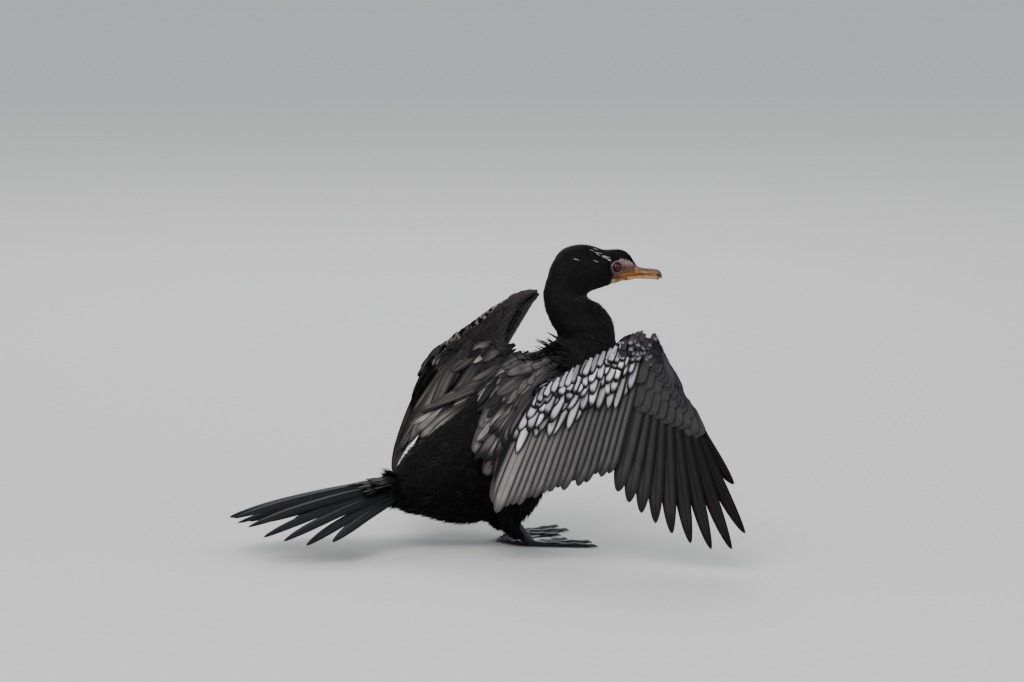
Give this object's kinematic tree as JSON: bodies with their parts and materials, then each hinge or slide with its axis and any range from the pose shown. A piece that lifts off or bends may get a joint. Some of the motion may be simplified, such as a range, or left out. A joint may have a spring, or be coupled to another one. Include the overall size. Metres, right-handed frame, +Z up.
{
  "type": "long-tailed cormorant figure",
  "caption": "Still life-size long-tailed cormorant standing on webbed feet with both wings held out to dry.",
  "frame": {"origin": "on the floor, under the middle of the whole figure's box", "axes": "+X the way the bird faces, +Y its left side, +Z up"},
  "size_m": [0.4122, 0.3608, 0.2676],
  "materials": {
    "plumage": "satin",
    "wing_feathers": "satin",
    "tail_feathers": "satin",
    "bill": "satin",
    "face_skin": "satin",
    "eye": "gloss",
    "foot_skin": "satin"
  },
  "bodies": {
    "root": {"torso": "plumage", "neck": "plumage", "head": "plumage", "bill_upper": "bill", "bill_lower": "bill", "eye_left": "eye", "eye_right": "eye", "tail": "tail_feathers", "wing_left": "wing_feathers", "wing_right": "wing_feathers", "thigh_left": "plumage", "thigh_right": "plumage", "shank_left": "foot_skin", "shank_right": "foot_skin", "foot_left": "foot_skin", "foot_right": "foot_skin"}
  },
  "joints": []
}
